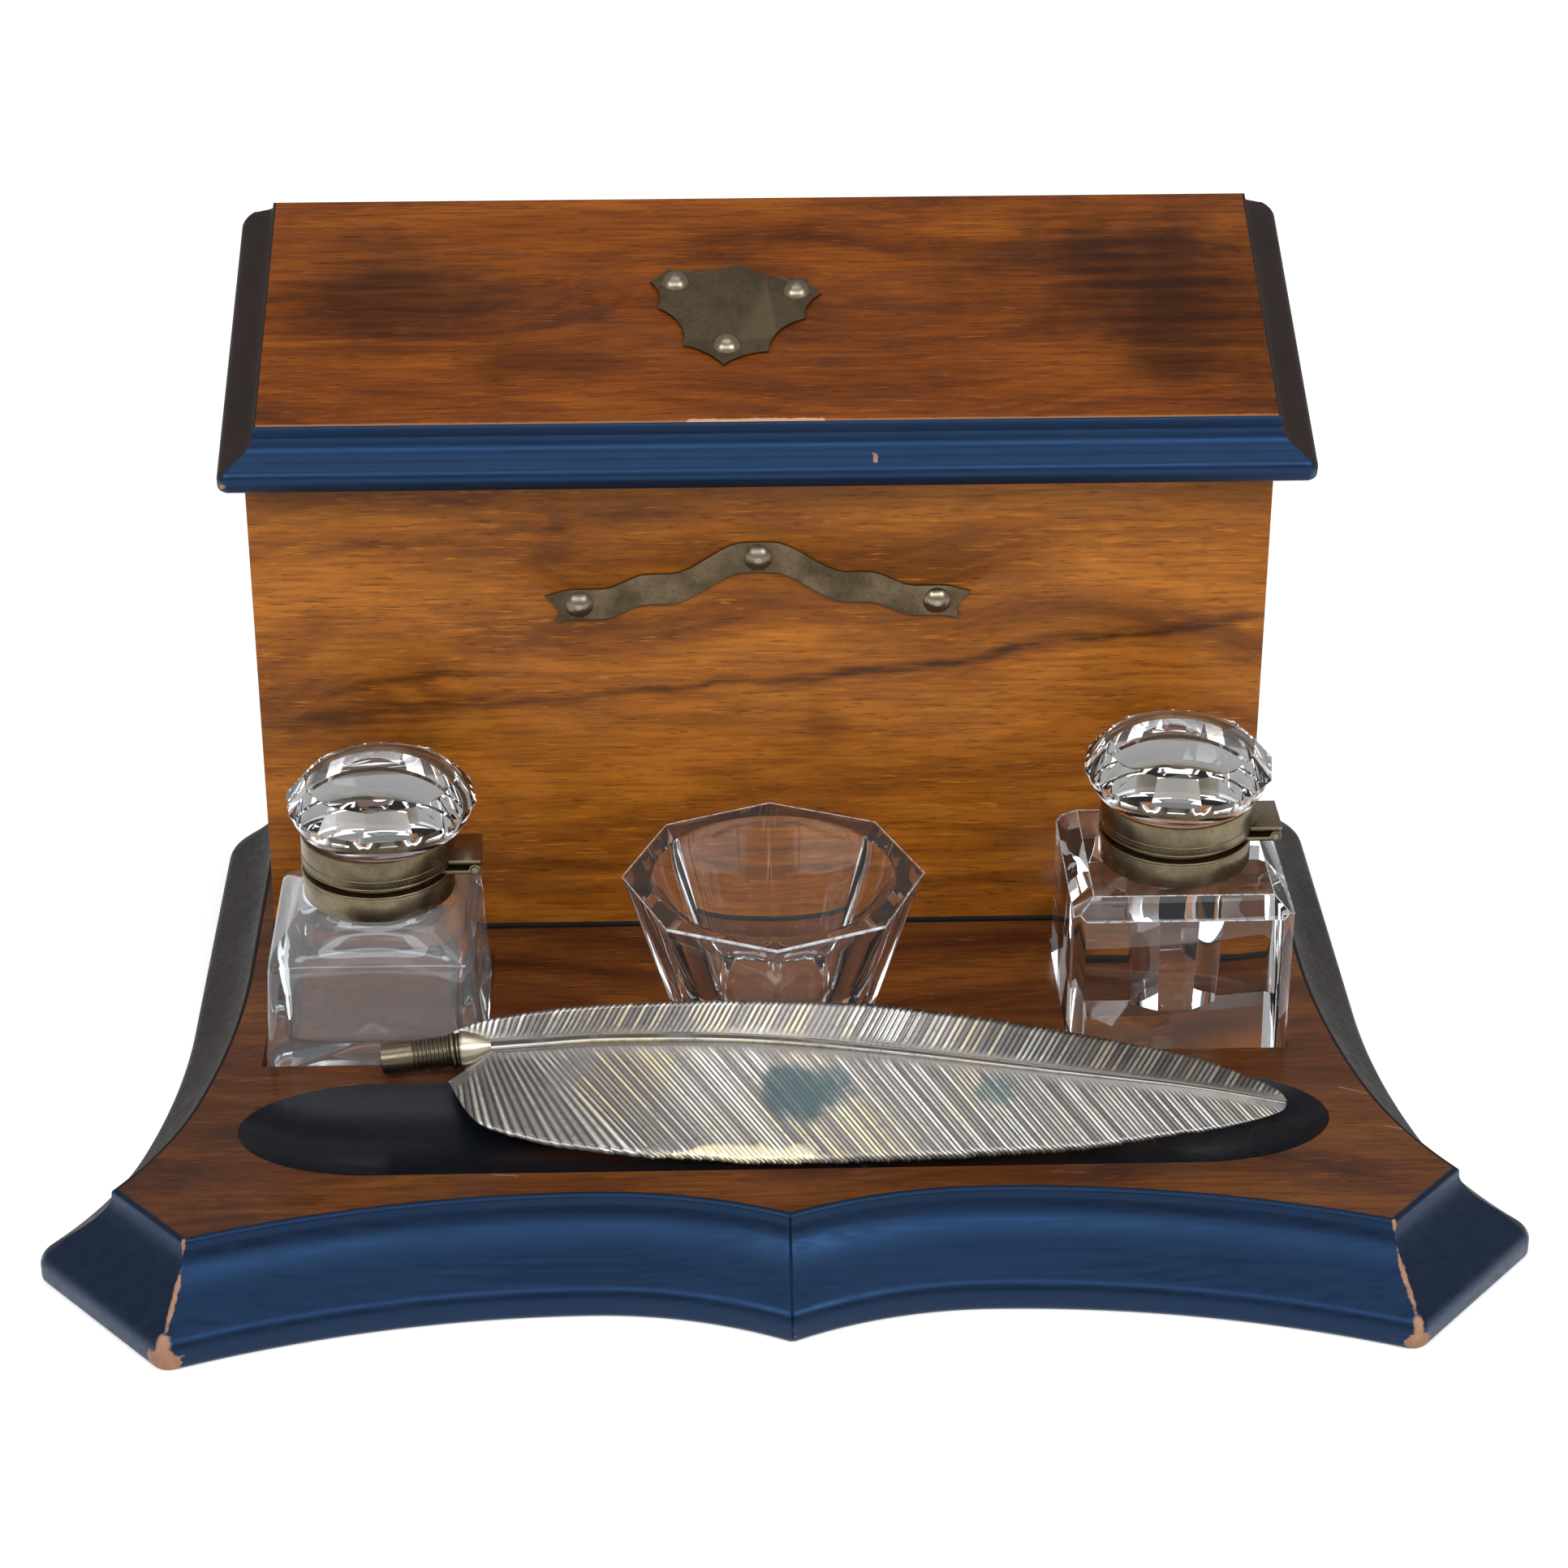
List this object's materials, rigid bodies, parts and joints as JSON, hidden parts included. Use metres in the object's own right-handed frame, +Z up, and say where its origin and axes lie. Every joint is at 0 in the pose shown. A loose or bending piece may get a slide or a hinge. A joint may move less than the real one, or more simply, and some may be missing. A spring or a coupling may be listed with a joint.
{
  "type": "desk inkstand with stationery box",
  "caption": "Walnut desk inkstand: pen tray, slope-lidded stationery box, glass inkwells with hinged caps, nib cup and a cast feather pen.",
  "frame": {"origin": "middle of the footprint on the table", "axes": "+X to the right across the stand, +Y from the pen tray to the back of the box, +Z up"},
  "size_m": [0.336, 0.234, 0.1873],
  "materials": {
    "walnut_base": "french polished walnut, dark red-brown",
    "walnut_box": "french polished walnut, orange-brown, straight dark grain",
    "walnut_lid": "french polished walnut, worn at the front edge",
    "inside_wood": "plain waxed walnut",
    "ebonised_wood": "black polish over wood, chipped to tan at the corners",
    "dark_side_wood": "worn black-brown polish",
    "dark_brass": "browned brass plate with bright edges",
    "nail_brass": "polished domed brass",
    "hinge_brass": "aged brass",
    "collar_brass": "aged olive brass, fine turned lines",
    "ferrule_brass": "aged brass, worn bright on the cone",
    "feather_metal": "silvered brass casting, rubbed through on the barbs, some verdigris",
    "cut_glass": "clear cut glass",
    "moulded_glass": "clear moulded glass",
    "cap_glass": "clear cut glass",
    "cup_glass": "clear cut glass, ground rim"
  },
  "bodies": {
    "base": {"base_board": "walnut_base", "base_moulding_point_left": "ebonised_wood", "base_moulding_point_right": "ebonised_wood", "base_moulding_front_left": "ebonised_wood", "base_moulding_front_right": "ebonised_wood", "base_moulding_corner_left": "ebonised_wood", "base_moulding_corner_right": "ebonised_wood", "base_moulding_flare_left": "dark_side_wood", "base_moulding_flare_right": "dark_side_wood", "base_moulding_side_left": "dark_side_wood", "base_moulding_side_right": "dark_side_wood", "base_moulding_back": "dark_side_wood", "box_floor": "ebonised_wood", "box_front": "walnut_box", "box_back": "walnut_box", "box_side_left": "walnut_box", "box_side_right": "walnut_box", "divider_front": "inside_wood", "divider_rear": "inside_wood", "ribbon_plate": "dark_brass", "ribbon_nails": "nail_brass", "hinge_box_leaf_left": "hinge_brass", "hinge_box_leaf_right": "hinge_brass", "hinge_pin_left": "hinge_brass", "hinge_pin_right": "hinge_brass", "hinge_screws_box": "hinge_brass"},
    "lid": {"lid_panel": "walnut_lid", "lid_moulding_front": "ebonised_wood", "lid_moulding_left": "ebonised_wood", "lid_moulding_right": "ebonised_wood", "shield_plate": "dark_brass", "shield_nails": "nail_brass", "hinge_lid_leaf_left": "hinge_brass", "hinge_lid_leaf_right": "hinge_brass", "hinge_screws_lid": "hinge_brass"},
    "nib_cup": {"nib_cup": "cup_glass"},
    "feather_pen": {"quill_feather": "feather_metal", "quill_ferrule": "ferrule_brass"},
    "inkwell_right": {"inkwell_right_body": "cut_glass", "inkwell_right_collar": "collar_brass", "inkwell_right_hinge_pin": "hinge_brass"},
    "inkwell_right_cap": {"inkwell_right_cap_ring": "collar_brass", "inkwell_right_cap_glass": "cap_glass"},
    "inkwell_left": {"inkwell_left_body": "moulded_glass", "inkwell_left_collar": "collar_brass", "inkwell_left_hinge_pin": "hinge_brass"},
    "inkwell_left_cap": {"inkwell_left_cap_ring": "collar_brass", "inkwell_left_cap_glass": "cap_glass"}
  },
  "joints": [
    {"name": "lid_hinge", "type": "hinge", "parent": "base", "child": "lid", "pos_m": [-0.0031, 0.10345, 0.17453], "axis": [-1, 0, 0], "range_deg": [0, 105]},
    {"name": "inkwell_right_lift", "type": "slide", "parent": "base", "child": "inkwell_right", "axis": [0, 0, 1], "range_m": [0, 0.03]},
    {"name": "inkwell_right_cap_hinge", "type": "hinge", "parent": "inkwell_right", "child": "inkwell_right_cap", "pos_m": [0.1159, -0.0022, 0.06875], "axis": [0, 1, 0], "range_deg": [0, 110]},
    {"name": "inkwell_left_lift", "type": "slide", "parent": "base", "child": "inkwell_left", "axis": [0, 0, 1], "range_m": [0, 0.03]},
    {"name": "inkwell_left_cap_hinge", "type": "hinge", "parent": "inkwell_left", "child": "inkwell_left_cap", "pos_m": [-0.0708, -0.0035, 0.06355], "axis": [0, 1, 0], "range_deg": [0, 110]},
    {"name": "nib_cup_lift", "type": "slide", "parent": "base", "child": "nib_cup", "axis": [0, 0, 1], "range_m": [0, 0.06]},
    {"name": "feather_pen_lift", "type": "slide", "parent": "base", "child": "feather_pen", "axis": [0, -0.5, 0.866], "range_m": [0, 0.05]}
  ]
}
